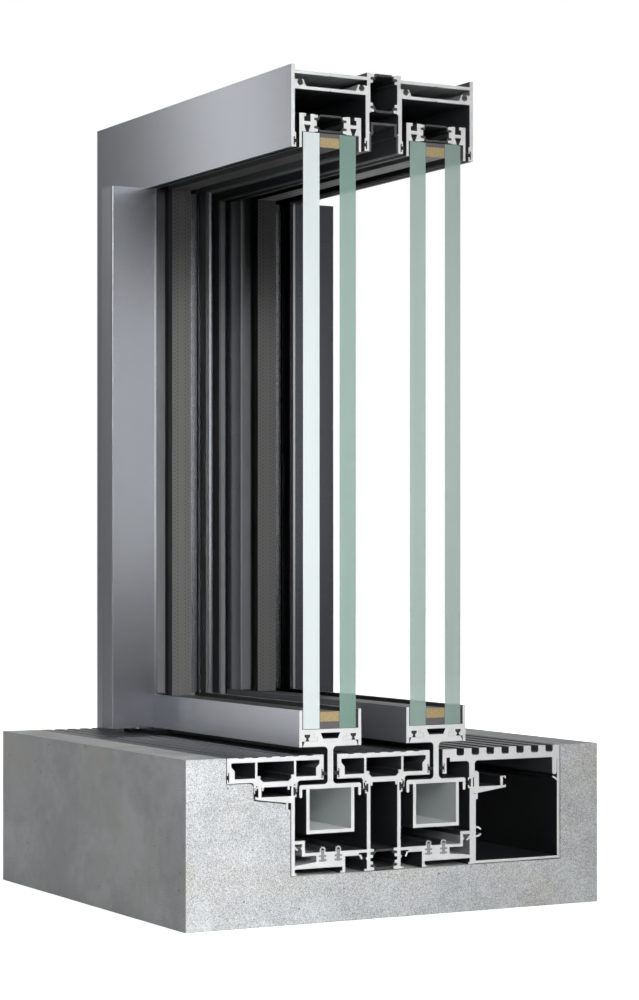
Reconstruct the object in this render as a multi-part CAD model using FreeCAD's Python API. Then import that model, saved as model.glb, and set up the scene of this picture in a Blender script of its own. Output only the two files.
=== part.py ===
"""Corner section sample of a flush-threshold sliding glass patio door.

A concrete block holds the sill of a two-track door.  The head, one jamb and two
double-glazed leaves stand on it, and everything is cut square at x = 0 so that
each profile shows its section.

Working axes: x runs along the tracks, 0 at the cut and negative towards the jamb.
y runs through the door, 0 at its outside face and positive indoors.
z runs up, 0 at the finished floor.  All sizes are millimetres.

Every profile is drawn once as a flat section in y and z, then extruded.  Head and
jamb share one section, and so do the top and closing edges of a leaf: those are
drawn with their lip at z = 0 and turned upright for the jamb and the stile.
"""
import os

import FreeCAD
import Part
from FreeCAD import Vector

# Whole sample
SAMPLE_LENGTH = 259.5        # cut face to the back of the jamb
OPENING_HEIGHT = 331.3       # finished floor to the underside of the head
FRONT_MARGIN = 24.0          # concrete in front of the floor
BACK_MARGIN = 26.2           # concrete behind the drain channel
BASE_BELOW = 26.3            # concrete under the tracks

# Double-glazing unit
PANE_THICK = 10.2
CAVITY = 12.6
SPACER_HEIGHT = 5.4
SPACER_SIGHT = 0.75          # spacer's face past the tip of the metal
EDGE_COVER = 8.45            # glass edge past the tip of the metal
EDGE_BED = 3.8               # sealant below the bottom spacer

# Leaf edge profile, used on the top and closing edges
LEG_THICK = 1.5
LEG_LENGTH = 8.75
OUTER_GASKET = 0.8
INNER_GASKET = 1.9
BODY_HEIGHT = 9.9            # part of the profile beyond the glass
BODY_WALL = 3.0              # its face wall
BODY_WIDTH = 9.2             # its width up to the insulating strips
CROSSBAR = 1.9
UPRIGHT = 2.3                # inner wall of the body
SLOT_LIP = 1.2               # lip over the fixing slot
GRIP_RISE = 0.5              # grips stand past the body
STRIP = 1.1                  # insulating strips of the leaves

# Bottom of a leaf
LEAF_LIFT = 4.4              # leaf's underside above the floor
SKIRT = 1.8                  # visible walls of the glazing channel
SKIRT_HEIGHT = 20.1
CARRIER_PLATE = 3.0          # upper flange of the carrier
CHANNEL_SEAT = 4.5           # hooked zone between the flange and the glass plate
CHANNEL_FOOT = 9.0           # width of the channel's feet
CHANNEL_TOE = 11.3           # and of the toes that hook into the carrier
HOOK_FIT = 0.1
GLASS_PLATE = 2.0            # plate below the glass
GLASS_BED = 0.3              # packing below the glass
STEM = 3.5
STEM_FILLET = 2.3
CARRIER_FLANGE = 2.4         # lower flange of the carrier
FLANGE_HOOK = 4.6            # drop of the hooks at its edges
HOOK_WALL = 1.8
BOX_WIDTH = 30.0
BOX_HEIGHT = 24.5
BOX_WALL = 1.95

# Pull bars and the leaves' places
PULL_WIDTH = 15.4            # along the track
PULL_DEPTH = 28.0            # how far it stands off the leaf
PULL_WALL = 2.0
PULL_CORNER = 0.8
SHUT_GAP = 0.9               # pull bar to jamb with the inner leaf shut
OUTER_LEAF_AJAR = 17.2       # how far the outer leaf stands open

# Frame section, shared by head and jamb and measured up from the lip
HEAD_HEIGHT = 44.9
JAMB_WIDTH = 40.3
LEAF_SETBACK = 5.0           # leaf's face behind the frame's outside face
WALL_GAP = 3.7               # leaf to the inner pocket wall
FACE_WALL = 2.2              # visible outside and inside walls
POCKET_WALL = 2.2            # walls beside the insulating strips
POCKET_DROP = 0.7            # the lower part of that wall stands back
PLATE = 1.75                 # the two plates of the screw-port chamber
PLATE_INSET = 3.1            # upper plate below the back edge
CHAMBER_HEIGHT = 6.6
MARK = 0.45                  # drilling mark along the middle of each plate
LIP_LIFT = 0.9               # inner lips stop short of the outer ones
LIP_LENGTH = 7.0
LIP_THICK = 3.0
BRUSH_SLOT = 4.6
BRUSH_MOUTH = 2.0
PORT_RADIUS = 1.8            # screw ports in the corners of the chamber
PORT_REACH = 3.4             # middle of a port off the wall
PORT_MOUTH = 1.8             # their openings
ISOLATOR_GAP = 17.2          # between the two halves of the frame
FRAME_STRIP = 1.3            # insulating strips of the frame
UPPER_STRIP = 3.55           # feet of the two strips below the back edge
LOWER_STRIP = 19.5
STRIP_BOW = 2.1              # how far the strips bend apart
COVER = 1.2                  # wall of the clip-in cover
COVER_HEIGHT = 17.1
COVER_STEP = 10.7

# Floor decks and their trays
FLOOR_SLOT = 8.5             # gap in the floor for a carrier stem
DECK_HEIGHT = 11.4
DECK_PLATE = 2.7
DECK_WALL = 2.6
DECK_FOOT = 1.9
DECK_WEB = 1.4
WEB_SPREAD = 25.2            # between the outer faces of the two webs
GROOVE_COUNT = 6
GROOVE_MARGIN = 8.7          # deck edge to the first groove's middle
GROOVE_WIDTH = 3.8
GROOVE_DEPTH = 0.4
TRAY_FLANGE = 2.2
TRAY_STEP = 2.8              # the tray's middle stands lower by this
TRAY_CLIP = 1.4
TAB = 1.2                    # tabs under a tray
TAB_LENGTH = 1.9

# Tracks
TRACK_WALL = 2.2
TRACK_FLOOR_PLATE = 1.7
RAIL_RISE = 3.0              # running rail above the track floor
RAIL_WIDTH = 3.6
RAIL_WALL = 0.8
RAIL_SPACING = 9.8
ROLLER_SPACE = 7.3           # carrier box to the running rails
ROLLER_RADIUS = 2.6
ROLLER_WIDTH = 5.6
FLANGE_THICK = 0.7           # flanges that guide the rollers between the rails
FLANGE_RISE = 1.0
TRUCK_LENGTH = 90.0
TRUCK_SETBACK = 8.0          # truck behind the leaf's closing edge
FLANGE_CLEARANCE = 2.6       # tray to the carrier's lower flange
TRACK_UNDERSIDE = 11.8       # track floor to the bottom of the feet
TOE = 1.1
LEDGE_REACH = 22.0           # bearing ledge outside the track
LEDGE_DROP = 5.4             # ledge below the top of the walls
SEAL_DEPTH = 1.1             # seal slots stand off the track walls by this
SEAL_RECESS = 0.9            # and are cut into them by this
SEAL_HEIGHT = 6.0
SLOT_WALL = 0.7
PRONG = 0.55                 # prongs of a tray beside the seal slots
PRONG_LENGTH = 3.2
LEDGE_UPRIGHT = 1.8
LEDGE_SLOT = 1.9             # depth of the slot at the end of the ledge
BARB = 1.3                   # barbs of the rail cores

# Drainage
DRAIN_WIDTH = 58.8
DRAIN_WALL = 1.8
DRAIN_FLOOR = 1.5
GRATE_PLATE = 7.0
GRATE_PITCH = 10.0
GRATE_SLOT = 5.0
GRATE_SLOT_DEPTH = 3.9
GRATE_EDGE = 11.7            # grate's edge to the first slot's middle
SLOT_CORNER = 1.2            # rounding in the bottom of the slots
GRATE_FILLET = 2.0
GRATE_LEG = 2.6
GRATE_FOOT = 3.1
GRATE_REBATE = 8.6           # depth of the grate's edge over the channel's wall
GRATE_FIT = 0.2              # grate to the channel's wall

# Fits
SEAL_GAP = 0.3               # seal to what slides past it
BASE_GAP = 0.5               # metal to concrete

# Places across the door
LEAF_THICK = (LEG_THICK + OUTER_GASKET + 2 * PANE_THICK + CAVITY + INNER_GASKET + LEG_THICK)
LEAF_MID = LEAF_SETBACK + LEAF_THICK / 2
LEAF_IN = LEAF_SETBACK + LEAF_THICK
WALL_IN = LEAF_IN + WALL_GAP
POCKET_FACE = WALL_IN + POCKET_WALL
MIDDLE = POCKET_FACE + ISOLATOR_GAP / 2
FRAME_DEPTH = 2 * MIDDLE
LEAF_PITCH = FRAME_DEPTH - 2 * LEAF_MID
INNER_MID = LEAF_MID + LEAF_PITCH
DECK_WIDTH = LEAF_PITCH - FLOOR_SLOT
OUTER_DECK_MID = LEAF_MID - FLOOR_SLOT / 2 - DECK_WIDTH / 2
DRAIN_BACK = FRAME_DEPTH + DRAIN_WIDTH
GRATE_BACK = DRAIN_BACK - DRAIN_WALL - GRATE_FIT

# Places up the door
CHANNEL_FLOOR = LEAF_LIFT + CARRIER_PLATE + CHANNEL_SEAT
SKIRT_TOP = LEAF_LIFT + SKIRT_HEIGHT
GLASS_LOW = CHANNEL_FLOOR + GLASS_PLATE + GLASS_BED
GLASS_TOP = OPENING_HEIGHT + EDGE_COVER
TRAY_LOW = -DECK_HEIGHT - TRAY_FLANGE
TRACK_TOP = TRAY_LOW - TRAY_STEP
LEDGE_TOP = TRACK_TOP - LEDGE_DROP
FLANGE_TOP = TRAY_LOW - FLANGE_CLEARANCE
FLANGE_LOW = FLANGE_TOP - CARRIER_FLANGE
BOX_LOW = FLANGE_LOW - BOX_HEIGHT
RAIL_CREST = BOX_LOW - ROLLER_SPACE
TRACK_FLOOR = RAIL_CREST - RAIL_RISE
TRACK_LOW = TRACK_FLOOR - TRACK_UNDERSIDE
BASE_HEIGHT = BASE_BELOW + BASE_GAP - TRACK_LOW

# Places along the track
JAMB_LIP = JAMB_WIDTH - SAMPLE_LENGTH
INNER_TIP = JAMB_LIP + SHUT_GAP + PULL_WIDTH
OUTER_TIP = INNER_TIP + OUTER_LEAF_AJAR
EDGE_HEIGHT = LEG_LENGTH + BODY_HEIGHT + GRIP_RISE

BASE_FACE = OUTER_DECK_MID - DECK_WIDTH / 2 - BASE_GAP - FRONT_MARGIN
BASE_REAR = DRAIN_BACK + BACK_MARGIN
ORIGIN = Vector(SAMPLE_LENGTH / 2, -(BASE_FACE + BASE_REAR) / 2, BASE_HEIGHT)


def area(*points):
    """Flat area of a section from its corners, given as (y, z)."""
    ring = [Vector(0, y, z) for y, z in points]
    return Part.Face(Part.makePolygon(ring + ring[:1]))


def plate(y0, y1, z0, z1):
    """Rectangular area between two depths and two heights."""
    return area((y0, z0), (y1, z0), (y1, z1), (y0, z1))


def disc(y, z, radius):
    """Round area."""
    return Part.Face(Part.Wire(Part.Circle(Vector(0, y, z), Vector(1, 0, 0), radius).toShape()))


def mirrored(shape, y):
    """Mirror image across the plane at depth y."""
    return shape.mirror(Vector(0, y, 0), Vector(0, 1, 0))


def both_sides(areas, y):
    """Areas together with their mirror images across depth y."""
    return areas + [mirrored(item, y) for item in areas]


def section(areas, holes=()):
    """One section from touching areas, less the holes."""
    faces = [face if face.normalAt(0, 0).x > 0 else face.reversed()
             for item in areas for face in item.Faces]
    whole = faces[0].multiFuse(faces[1:]) if len(faces) > 1 else faces[0]
    if holes:
        whole = whole.cut(Part.makeCompound(list(holes)))
    return whole.removeSplitter()


def extruded(profile, start=-SAMPLE_LENGTH, end=0.0):
    """Extrusion of a section along the track."""
    solids = [face.extrude(Vector(end - start, 0, 0)) for face in profile.Faces]
    shape = solids[0] if len(solids) == 1 else Part.makeCompound(solids)
    return shape.translated(Vector(start, 0, 0))


def upright(shape, lip, foot=0.0):
    """Stand a profile that was extruded from x = 0 so that its lip faces the opening."""
    turned = shape.copy()
    turned.rotate(Vector(0, 0, 0), Vector(0, 1, 0), -90)
    turned.translate(Vector(lip, 0, foot))
    return turned


def mitred(shape, is_head):
    """The shape cut off along the mitre where the head meets the jamb."""
    inner = Vector(JAMB_LIP, -1, OPENING_HEIGHT)
    run = Vector(-JAMB_WIDTH, 0, HEAD_HEIGHT)
    low = inner - run * 10
    high = inner + run * 2
    third = Vector(low.x, -1, high.z) if is_head else Vector(high.x, -1, low.z)
    side = Part.Face(Part.makePolygon([low, high, third, low]))
    return shape.common(side.extrude(Vector(0, FRAME_DEPTH + 2, 0)))


def seal_slot(face, side, high, height, depth, lip):
    """Areas of a C-shaped seal slot on a wall face that looks towards side (+1 or -1)."""
    far = face + side * depth
    near = far - side * SLOT_WALL
    low = high - height
    return [
        area((face, high), (far, high), (far, high - SLOT_WALL), (face, high - SLOT_WALL)),
        area((face, low), (far, low), (far, low + SLOT_WALL), (face, low + SLOT_WALL)),
        area((near, high), (far, high), (far, high - lip), (near, high - lip)),
        area((near, low), (far, low), (far, low + lip), (near, low + lip)),
    ]


def slot_seal(face, side, high, height, depth, lip, tip):
    """Section of the rubber in such a slot, leaning out to the depth tip."""
    inner = face + side * (depth - SLOT_WALL)
    low = high - height
    base = area((face, high - SLOT_WALL), (inner, high - SLOT_WALL), (inner, low + SLOT_WALL),
                (face, low + SLOT_WALL))
    fin = area((face, high - lip), (tip, high - lip - 0.6), (tip, low + lip + 0.6),
               (face, low + lip))
    return section([base, fin])


def insulator(near, mid, foot, flat, thick):
    """Section of a strip whose feet sit at height foot and whose middle lies at flat."""
    t = thick / 2
    half = [
        plate(near, near + 3.0, foot - t, foot + t),
        area((near + 2.2, foot - t), (near + 3.8, flat - t), (near + 3.8, flat + t),
             (near + 2.2, foot + t)),
        plate(near + 3.5, mid, flat - t, flat + t),
    ]
    return section(both_sides(half, mid))


def grips(face, foot, thick, flat_side):
    """Dovetail grips above and below an insulator's foot; flat_side +1 if it bends up."""
    t = thick / 2
    long, short = 2.4, 1.7
    up = area((face, foot + t), (face + (long if flat_side > 0 else short), foot + t + 0.3),
              (face + (long if flat_side > 0 else short), foot + t + 1.7), (face, foot + t + 1.9))
    down = area((face, foot - t), (face + (short if flat_side > 0 else long), foot - t - 0.3),
                (face + (short if flat_side > 0 else long), foot - t - 1.7),
                (face, foot - t - 1.9))
    return [up, down]


def screw_port(wall, side, base):
    """Area of a screw port in the corner between a wall and a plate at base."""
    def at(y, z):
        return (wall + side * y, base + z)
    middle, level = at(PORT_REACH, PORT_RADIUS + 0.1)
    brim = 2 * PORT_RADIUS
    lump = area(at(-0.4, -0.4), at(2 * PORT_REACH + 0.3, -0.4), at(PORT_REACH + 2.0, brim),
                at(-0.4, brim - 0.2))
    mouth = plate(middle - PORT_MOUTH / 2, middle + PORT_MOUTH / 2, level, level + brim)
    return lump.cut(Part.makeCompound([disc(middle, level, PORT_RADIUS), mouth]))


def track_seal(face, side, tip):
    """Section of the rubber in a track wall's slot, leaning out to the depth tip."""
    inner = face + side * (SEAL_DEPTH - SLOT_WALL - 0.05)
    high = TRACK_TOP - SLOT_WALL - 0.05
    low = TRACK_TOP - SEAL_HEIGHT + SLOT_WALL + 0.05
    root = TRACK_TOP - SEAL_HEIGHT + 1.7
    base = plate(face - side * (SEAL_RECESS - 0.05), inner, low, high)
    fin = area((face, root), (tip, root + 0.1), (tip, root + 0.6), (face, root + 0.7))
    return section([base, fin])


def concrete_base():
    """Block with the stepped recess that the sill lies in."""
    face = OUTER_DECK_MID - DECK_WIDTH / 2 - BASE_GAP
    shelf = TRAY_LOW - BASE_GAP
    ledge = -LEDGE_REACH - 1.1
    under = TRACK_LOW - BASE_GAP
    recess = area(
        (face, 1), (face, shelf), (ledge - 1.6, shelf), (ledge, shelf - 1.6),
        (ledge, LEDGE_TOP - 1.7), (-3.4, LEDGE_TOP - 4.3), (-3.4, LEDGE_TOP - 7.5),
        (-BASE_GAP, LEDGE_TOP - 7.5), (-BASE_GAP, under),
        (DRAIN_BACK + BASE_GAP, under), (DRAIN_BACK + BASE_GAP, 1))
    block = plate(BASE_FACE, BASE_REAR, -BASE_HEIGHT, 0)
    return extruded(block.cut(recess))


def rail_places():
    """Depths of the two running rails of the outer track."""
    return (LEAF_MID - RAIL_SPACING / 2, LEAF_MID + RAIL_SPACING / 2)


def outer_track():
    """Outer track with its bearing ledge, rail block, screw ports and seal slots."""
    near, far = rail_places()
    foot = far + 4.3
    block = near - 3.9
    step = TRACK_FLOOR + 6.9
    floor_low = TRACK_FLOOR - TRACK_FLOOR_PLATE
    base_high = TRACK_LOW + 5.1
    base_low = TRACK_LOW + 3.3
    end = LEDGE_SLOT - LEDGE_REACH
    seal_low = TRACK_TOP - SEAL_HEIGHT + SLOT_WALL
    areas = [
        plate(0, TRACK_WALL, TRACK_LOW, TRACK_TOP),
        plate(WALL_IN, POCKET_FACE, TRACK_LOW, TRACK_TOP),
        area((0, LEDGE_TOP), (-LEDGE_REACH, LEDGE_TOP), (-LEDGE_REACH, LEDGE_TOP - 1.1),
             (-3.0, LEDGE_TOP - 3.6), (0, LEDGE_TOP - 3.9)),
        plate(end, end + LEDGE_UPRIGHT, LEDGE_TOP, TRACK_TOP),
        plate(-3.2, -1.9, LEDGE_TOP - 7.1, LEDGE_TOP - 3),
        plate(TRACK_WALL, 8.4, step - 1.8, step),
        plate(6.7, 8.4, floor_low, step),
        area((TRACK_WALL, step - 2.7), (4.3, step - 5.0), (3.5, step - 5.4),
             (TRACK_WALL, step - 4.2)),
        area((6.9, step - 2.9), (5.8, step - 4.2), (6.5, step - 5.0), (6.9, step - 4.6)),
        plate(6.7, WALL_IN, floor_low, TRACK_FLOOR),
        plate(foot - 1.7, WALL_IN - 5, floor_low - 1.3, TRACK_FLOOR),
        plate(block, foot, base_high - 0.6, floor_low + 0.5),
        area((TRACK_WALL, base_high), (block, base_high + 1.5), (block, base_low),
             (TRACK_WALL, base_low)),
        plate(TRACK_WALL, foot, base_low, base_high),
        plate(foot - 1.7, foot, TRACK_LOW, base_high),
        plate(foot - 3.1, foot, TRACK_LOW, TRACK_LOW + TOE),
        plate(0, TRACK_WALL + 1.0, TRACK_LOW, TRACK_LOW + TOE),
        plate(WALL_IN - 1.7, POCKET_FACE + 2.4, TRACK_LOW, TRACK_LOW + TOE),
        area((WALL_IN - 5.2, floor_low - 0.9), (WALL_IN - 3.6, floor_low - 3.8),
             (WALL_IN - 2.8, floor_low - 3.3), (WALL_IN - 3.7, floor_low - 0.9)),
        area((WALL_IN, floor_low - 2.3), (WALL_IN - 0.9, floor_low - 3.3),
             (WALL_IN, floor_low - 4.3)),
    ]
    areas += grips(POCKET_FACE, TRACK_FLOOR - 2.4, FRAME_STRIP, 1)
    areas += grips(POCKET_FACE, TRACK_LOW + 2.5, FRAME_STRIP, -1)
    areas += seal_slot(TRACK_WALL, 1, TRACK_TOP, SEAL_HEIGHT, SEAL_DEPTH, 1.6)
    areas += seal_slot(WALL_IN, -1, TRACK_TOP, SEAL_HEIGHT, SEAL_DEPTH, 1.6)
    areas += seal_slot(end, -1, TRACK_TOP, LEDGE_DROP + 1.1, LEDGE_SLOT, 1.6)
    holes = [plate(TRACK_WALL - SEAL_RECESS, TRACK_WALL, seal_low, TRACK_TOP - SLOT_WALL),
             plate(WALL_IN, WALL_IN + SEAL_RECESS, seal_low, TRACK_TOP - SLOT_WALL)]
    for y in (near, far):
        slot = RAIL_WIDTH / 2 - RAIL_WALL
        holes.append(plate(y - slot, y + slot, TRACK_FLOOR - 5.2, TRACK_FLOOR + 1))
        for drop in (2.6, 5.0):
            holes.append(plate(y - slot - BARB, y + slot + BARB, TRACK_FLOOR - drop,
                               TRACK_FLOOR - drop + 1.0))
    return extruded(section(areas, holes))


def sill_thermal_breaks():
    """Insulating strips between the two tracks."""
    upper = TRACK_FLOOR - 2.4
    lower = TRACK_LOW + 2.5
    strips = [insulator(POCKET_FACE, MIDDLE, upper, upper + 1.5, FRAME_STRIP),
              insulator(POCKET_FACE, MIDDLE, lower, lower - 1.6, FRAME_STRIP)]
    return extruded(Part.makeCompound(strips))


def running_rails():
    """Round-topped metal strips that the rollers run on."""
    r = RAIL_WIDTH / 2
    crown = RAIL_CREST - r
    low = TRACK_FLOOR
    shells = []
    for y in rail_places():
        cap = section([disc(y, crown, r), plate(y - r, y + r, low, crown)],
                      [disc(y, crown, r - RAIL_WALL), plate(y - 2 * r, y + 2 * r, low - r, low),
                       plate(y - r + RAIL_WALL, y + r - RAIL_WALL, low, crown)])
        shells.append(extruded(cap))
    return Part.makeCompound(shells + [mirrored(shell, MIDDLE) for shell in shells])


def rail_cores():
    """Barbed plastic strips that hold the running rails down."""
    half = RAIL_WIDTH / 2 - RAIL_WALL - 0.1
    cores = []
    for y in rail_places():
        areas = [plate(y - half, y + half, TRACK_FLOOR - 5.1, RAIL_CREST - RAIL_WIDTH / 2)]
        for drop in (2.6, 5.0):
            areas.append(plate(y - half - BARB, y + half + BARB, TRACK_FLOOR - drop + 0.1,
                               TRACK_FLOOR - drop + 0.9))
        cores.append(extruded(section(areas)))
    return Part.makeCompound(cores + [mirrored(core, MIDDLE) for core in cores])


def deck(mid):
    """Grooved floor plate on two jogged side walls and two webs."""
    edge = mid - DECK_WIDTH / 2
    foot_out = edge + TRAY_CLIP + 1.4
    foot_in = foot_out + DECK_FOOT
    knee = -DECK_HEIGHT + 4.4
    web = mid - WEB_SPREAD / 2
    half = [
        plate(edge, edge + DECK_WALL, knee, -DECK_PLATE),
        area((edge + DECK_WALL, -DECK_PLATE), (edge + DECK_WALL, knee + 2.2), (foot_in, knee),
             (foot_in, -DECK_HEIGHT), (foot_out, -DECK_HEIGHT), (foot_out, knee),
             (edge + 1, knee), (edge + 1, -DECK_PLATE)),
        plate(web, web + DECK_WEB, -DECK_HEIGHT, -DECK_PLATE),
        plate(web, web + DECK_WEB + 1.9, -DECK_HEIGHT, -DECK_HEIGHT + 1.2),
    ]
    top = plate(edge, mid + DECK_WIDTH / 2, -DECK_PLATE, 0)
    pitch = (DECK_WIDTH - 2 * GROOVE_MARGIN) / (GROOVE_COUNT - 1)
    grooves = []
    for n in range(GROOVE_COUNT):
        y = edge + GROOVE_MARGIN + n * pitch
        grooves.append(area((y - GROOVE_WIDTH / 2, 0), (y - GROOVE_WIDTH / 2 + 0.3, -GROOVE_DEPTH),
                            (y + GROOVE_WIDTH / 2 - 0.3, -GROOVE_DEPTH),
                            (y + GROOVE_WIDTH / 2, 0)))
    return extruded(section([top] + both_sides(half, mid), grooves))


def deck_tray(mid):
    """Carrier below a deck, stepped down in the middle and clipped over two walls."""
    clip = mid - DECK_WIDTH / 2 + TRAY_CLIP
    top = -DECK_HEIGHT
    knee = top + 4.35
    face = mid - (MIDDLE - WALL_IN)
    step = face - 2.6
    tab = face + TRACK_WALL + 0.1
    half = [
        plate(clip, face, TRAY_LOW, top),
        plate(clip, clip + TRAY_CLIP, TRAY_LOW, knee),
        area((step - 1.5, top), (step - 1.5, TRAY_LOW), (step - 0.6, TRAY_LOW - 0.4),
             (step, TRAY_LOW - 1.4), (step, TRACK_TOP), (face + 3, TRACK_TOP),
             (face + 3, top - 2.1), (face + 0.9, top)),
        area((step, TRACK_TOP + 1), (step + PRONG, TRACK_TOP + 1),
             (step + PRONG, TRACK_TOP - PRONG_LENGTH / 2),
             (step + PRONG + 0.3, TRACK_TOP - PRONG_LENGTH),
             (step + 0.3, TRACK_TOP - PRONG_LENGTH)),
        plate(tab, tab + TAB, TRACK_TOP - TAB_LENGTH, TRACK_TOP + 1),
    ]
    half += seal_slot(clip, -1, knee, knee - TRAY_LOW, TRAY_CLIP, 2.1)
    middle = plate(face + 2, 2 * mid - face - 2, TRACK_TOP, top - 2.1)
    notch = [disc(step + 1.8, TRACK_TOP + 0.6, 0.4)]
    return extruded(section([middle] + both_sides(half, mid), both_sides(notch, mid)))


def drain_grate():
    """Slotted cover over the drain channel."""
    edge = INNER_MID + FLOOR_SLOT / 2
    wall = FRAME_DEPTH - TRACK_WALL - 0.3
    leg = edge + GRATE_LEG
    foot = GRATE_BACK - GRATE_FOOT
    areas = [
        plate(edge, DRAIN_BACK, -GRATE_PLATE, 0),
        plate(foot, DRAIN_BACK, -GRATE_REBATE, 0),
        plate(edge, leg, TRAY_LOW, 0),
        plate(wall, wall + 3.7, TRACK_TOP, 1 - GRATE_PLATE),
        plate(wall, wall + 5.3, TRACK_TOP, TRAY_LOW + 0.6),
        area((wall + 3.2, LEDGE_TOP), (wall + 6.5, LEDGE_TOP), (wall + 6.5, TRAY_LOW - 0.6),
             (wall + 5.3, TRAY_LOW + 0.6), (wall + 3.2, TRAY_LOW + 0.6)),
        plate(foot, GRATE_BACK, TRACK_TOP + 1, 0),
        disc(foot + GRATE_FOOT / 2, TRACK_TOP + 1, GRATE_FOOT / 2),
    ]
    for corner, way in ((wall, -1), (wall + 3.7, 1)):
        square = plate(corner, corner + way * GRATE_FILLET, -GRATE_PLATE - GRATE_FILLET,
                       1 - GRATE_PLATE)
        areas.append(square.cut(disc(corner + way * GRATE_FILLET, -GRATE_PLATE - GRATE_FILLET,
                                     GRATE_FILLET)))
    low = TRAY_LOW + SLOT_WALL
    high = low + 5.0
    holes = [
        plate(leg, leg + 2.3, -GRATE_PLATE, 2.3 - GRATE_PLATE),
        plate(edge + SLOT_WALL, edge + 1.3, low, high),
        plate(edge, edge + SLOT_WALL, low + 1.5, high - 1.5),
    ]
    count = int((GRATE_BACK - 1.5 - GRATE_SLOT / 2 - edge - GRATE_EDGE) // GRATE_PITCH) + 1
    side = GRATE_SLOT / 2
    shoulder = side - SLOT_CORNER
    for n in range(count):
        y = edge + GRATE_EDGE + n * GRATE_PITCH
        holes.append(section([
            plate(y - side, y + side, SLOT_CORNER - GRATE_SLOT_DEPTH, 1),
            plate(y - shoulder, y + shoulder, -GRATE_SLOT_DEPTH, 1),
            disc(y - shoulder, SLOT_CORNER - GRATE_SLOT_DEPTH, SLOT_CORNER),
            disc(y + shoulder, SLOT_CORNER - GRATE_SLOT_DEPTH, SLOT_CORNER),
        ]))
    return extruded(section(areas, holes))


def drain_channel():
    """Box gutter indoors of the tracks."""
    face = FRAME_DEPTH
    back = DRAIN_BACK - DRAIN_WALL
    port = TRACK_FLOOR + 6.15
    prong = [(1.8, 3.1), (3.8, 2.9), (5.6, 1.6), (5.2, 0.8), (3.4, 1.9), (1.8, 2.1)]
    hook = LEDGE_TOP + 1.2
    areas = [
        plate(face, face + 1.9, TRACK_LOW, LEDGE_TOP - 4.1),
        plate(face, DRAIN_BACK, TRACK_LOW, TRACK_LOW + DRAIN_FLOOR),
        plate(back, DRAIN_BACK, TRACK_LOW, -GRATE_REBATE - GRATE_FIT),
        area(*[(face + y, port + z) for y, z in prong]),
        area(*[(face + y, port - z) for y, z in prong]),
        area((back, hook), (back - 3.4, hook + 2.2), (back - 3.0, hook + 3.0), (back, hook + 1.4)),
    ]
    return extruded(section(areas))


def stem_seals(mid, indoor_grate):
    """Sections of the four seals round one carrier."""
    reach = STEM / 2 + SEAL_GAP
    edge = FLOOR_SLOT / 2
    knee = -DECK_HEIGHT + 4.35
    height = knee - TRAY_LOW
    seals = [slot_seal(mid - edge - TRAY_CLIP, 1, knee, height, TRAY_CLIP, 2.1, mid - reach)]
    if indoor_grate:
        low = TRAY_LOW + SLOT_WALL
        base = plate(mid + edge + SLOT_WALL, mid + edge + 1.3, low, low + 5.0)
        fin = area((mid + edge + 1.3, low + 3.5), (mid + reach, low + 2.9), (mid + reach, low + 2.1),
                   (mid + edge + 1.3, low + 1.5))
        seals.append(section([base, fin]))
    else:
        seals.append(slot_seal(mid + edge + TRAY_CLIP, -1, knee, height, TRAY_CLIP, 2.1, mid + reach))
    return seals


def deck_seals():
    """Rubber seals beside the carrier stems and the carrier hooks."""
    hook_out = LEAF_SETBACK - SEAL_GAP
    hook_in = LEAF_IN + SEAL_GAP
    track = [track_seal(TRACK_WALL, 1, hook_out), track_seal(WALL_IN, -1, hook_in)]
    seals = stem_seals(LEAF_MID, False) + stem_seals(INNER_MID, True)
    solids = [extruded(seal) for seal in seals + track]
    solids += [mirrored(extruded(seal), MIDDLE) for seal in track]
    return Part.makeCompound(solids)


def frame_half(depth):
    """Section of the outer half of head or jamb, its lip at z = 0."""
    top = depth - PLATE_INSET
    web = top - PLATE - CHAMBER_HEIGHT
    set_back = POCKET_FACE - POCKET_DROP
    upper_foot = depth - UPPER_STRIP
    lower_foot = depth - LOWER_STRIP
    bend = lower_foot - 3.2
    areas = [
        plate(0, FACE_WALL, 0, depth),
        plate(0, LIP_THICK, 0, LIP_LENGTH + 1),
        plate(WALL_IN, POCKET_FACE, web - PLATE, depth - 0.7),
        plate(WALL_IN - 0.8, POCKET_FACE, bend, web),
        plate(WALL_IN - 0.8, set_back, LIP_LIFT, bend + 1),
        plate(set_back - LIP_THICK, set_back, LIP_LIFT, LIP_LIFT + LIP_LENGTH),
        plate(FACE_WALL, WALL_IN, top - PLATE, top),
        plate(FACE_WALL, WALL_IN, web - PLATE, web),
        area((set_back, 10.6), (set_back + 0.8, 11.2), (set_back, 11.8)),
    ]
    areas += grips(POCKET_FACE, upper_foot, FRAME_STRIP, 1)
    areas += grips(POCKET_FACE, lower_foot, FRAME_STRIP, -1)
    areas += [screw_port(FACE_WALL, 1, web), screw_port(WALL_IN, -1, web)]
    slot = BRUSH_SLOT / 2
    mouth = BRUSH_MOUTH / 2
    mid_out = LIP_LENGTH / 2 - 0.2
    mid_in = LIP_LIFT + LIP_LENGTH / 2 - 0.2
    inner = set_back - LIP_THICK
    holes = [
        plate(LIP_THICK - 1.6, LIP_THICK - 0.8, mid_out - slot, mid_out + slot),
        plate(LIP_THICK - 0.8, LIP_THICK, mid_out - mouth, mid_out + mouth),
        plate(inner + 0.8, inner + 1.6, mid_in - slot, mid_in + slot),
        plate(inner, inner + 0.8, mid_in - mouth, mid_in + mouth),
    ]
    for underside in (top - PLATE, web - PLATE):
        holes.append(area((LEAF_MID - MARK, underside), (LEAF_MID, underside + MARK),
                          (LEAF_MID + MARK, underside)))
    return section(areas, holes)


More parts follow.
